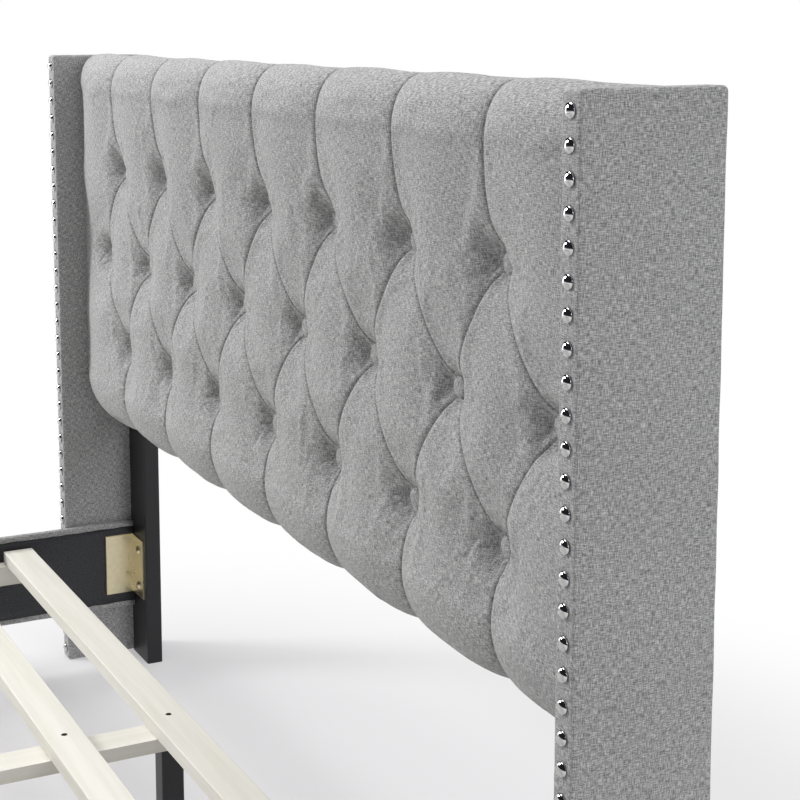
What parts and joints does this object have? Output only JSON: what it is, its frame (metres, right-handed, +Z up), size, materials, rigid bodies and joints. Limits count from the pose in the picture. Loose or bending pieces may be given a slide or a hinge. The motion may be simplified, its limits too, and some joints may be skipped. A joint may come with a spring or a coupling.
{
  "type": "upholstered bed",
  "caption": "Queen bed with a diamond-tufted headboard between two nail-trimmed wings, low padded rails and footboard, and a slatted base.",
  "frame": {"origin": "on the floor, below the middle of the whole bed", "axes": "+Z up; +Y from the foot to the headboard; +X across the bed, to the right when looking at the headboard from the foot"},
  "size_m": [1.64, 2.19, 1.06],
  "materials": {
    "upholstery": "heathered grey linen-look polyester weave, matt",
    "lining": "black non-woven lining, matt",
    "foam": "soft polyurethane foam",
    "twine": "waxed upholstery twine",
    "board": "raw particle board and plywood",
    "frame_timber": "raw sawn softwood",
    "pine": "pale planed pine, unfinished",
    "black_lacquer": "black satin lacquer on wood",
    "chrome": "polished",
    "yellow_zinc": "yellow zinc plated steel, satin",
    "bright_zinc": "bright zinc plated steel",
    "dark_screw": "dark phosphated steel"
  },
  "bodies": {
    "root": {"headboard_top_rail": "frame_timber", "headboard_bottom_rail": "frame_timber", "headboard_stile_left": "frame_timber", "headboard_stile_right": "frame_timber", "headboard_uprights": "frame_timber", "headboard_board": "board", "headboard_foam": "foam", "headboard_cover": "upholstery", "headboard_back_cover": "lining", "tuft_buttons": "upholstery", "tuft_ties": "twine", "headboard_leg_left": "black_lacquer", "headboard_leg_right": "black_lacquer", "leg_bolts": "bright_zinc", "wing_bolts": "bright_zinc", "wing_board_left": "board", "wing_board_right": "board", "wing_cover_left": "upholstery", "wing_cover_right": "upholstery", "wing_nails_left": "chrome", "wing_nails_right": "chrome", "rail_board_left": "board", "rail_board_right": "board", "rail_cover_left": "upholstery", "rail_cover_right": "upholstery", "rail_liner_left": "lining", "rail_liner_right": "lining", "ledger_left": "pine", "ledger_right": "pine", "bracket_head_left": "yellow_zinc", "bracket_head_right": "yellow_zinc", "bracket_foot_left": "yellow_zinc", "bracket_foot_right": "yellow_zinc", "bracket_screws": "yellow_zinc", "bracket_bolts": "yellow_zinc", "bracket_nuts": "bright_zinc", "footboard_board": "board", "footboard_cover": "upholstery", "footboard_liner": "lining", "footboard_leg_left": "black_lacquer", "footboard_leg_right": "black_lacquer", "centre_beam": "pine", "centre_leg_head": "black_lacquer", "centre_leg_middle": "black_lacquer", "centre_leg_foot": "black_lacquer", "slat_screws": "dark_screw", "slat_01": "pine", "slat_02": "pine", "slat_03": "pine", "slat_04": "pine", "slat_05": "pine", "slat_06": "pine", "slat_07": "pine", "slat_08": "pine", "slat_09": "pine", "slat_10": "pine", "slat_11": "pine", "slat_12": "pine", "slat_13": "pine", "slat_14": "pine"}
  },
  "joints": []
}
